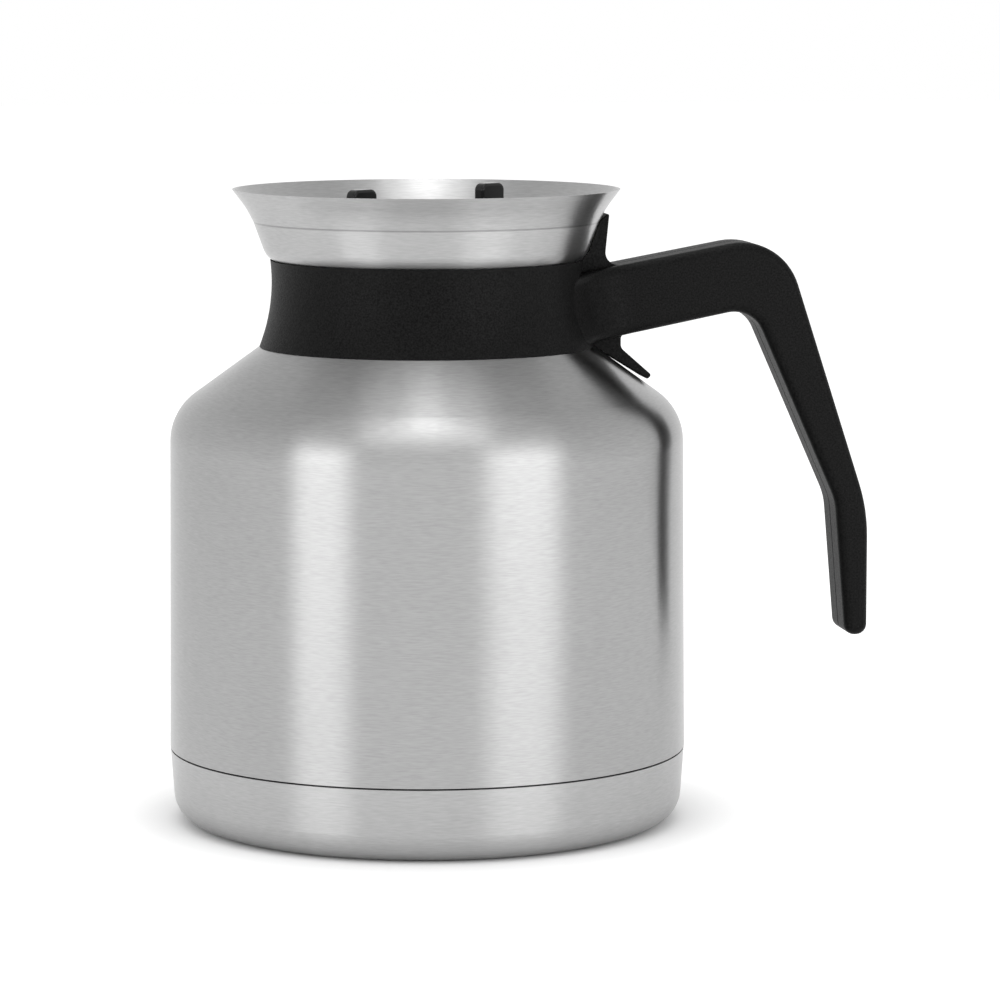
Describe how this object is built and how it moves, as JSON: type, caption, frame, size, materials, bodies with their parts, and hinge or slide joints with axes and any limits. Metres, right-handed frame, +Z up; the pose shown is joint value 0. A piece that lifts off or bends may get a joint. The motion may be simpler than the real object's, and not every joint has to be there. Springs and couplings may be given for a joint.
{
  "type": "thermal carafe",
  "caption": "Squat vacuum carafe in brushed steel with a flared pouring mouth, a black neck collar with an open-ended side handle, and a drop-in brew-through lid with finger wings.",
  "frame": {"origin": "centre of the flat base, on the surface that the carafe stands on", "axes": "+Z up along the vessel's axis, +X towards the handle"},
  "size_m": [0.199, 0.146, 0.179],
  "materials": {
    "brushed_steel": "brushed round the axis",
    "plain_steel": "drawn, satin",
    "seal_metal": "brazed",
    "getter_metal": "sintered",
    "handle_plastic": "fine moulded grain",
    "lid_plastic": "smooth moulded",
    "silicone": "matte",
    "screw_steel": "zinc plated"
  },
  "bodies": {
    "carafe": {"outer_shell": "brushed_steel", "base_cup": "brushed_steel", "outer_bottom": "plain_steel", "vacuum_seal": "seal_metal", "getter": "getter_metal", "flask_bottom": "plain_steel", "inner_flask": "plain_steel", "pouring_mouth": "brushed_steel", "handle_front": "handle_plastic", "handle_rear": "handle_plastic", "handle_screws": "screw_steel"},
    "lid_seal": {"lid_gasket": "silicone"},
    "lid": {"lid_dish": "lid_plastic", "lid_plug": "lid_plastic", "mixing_tube": "lid_plastic"}
  },
  "joints": [
    {"name": "lid_lift", "type": "slide", "parent": "carafe", "child": "lid_seal", "axis": [0, 0, 1], "range_m": [0, 0.16]},
    {"name": "lid_turn", "type": "hinge", "parent": "lid_seal", "child": "lid", "pos_m": [0, 0, 0.15], "axis": [0, 0, 1], "continuous": true}
  ]
}
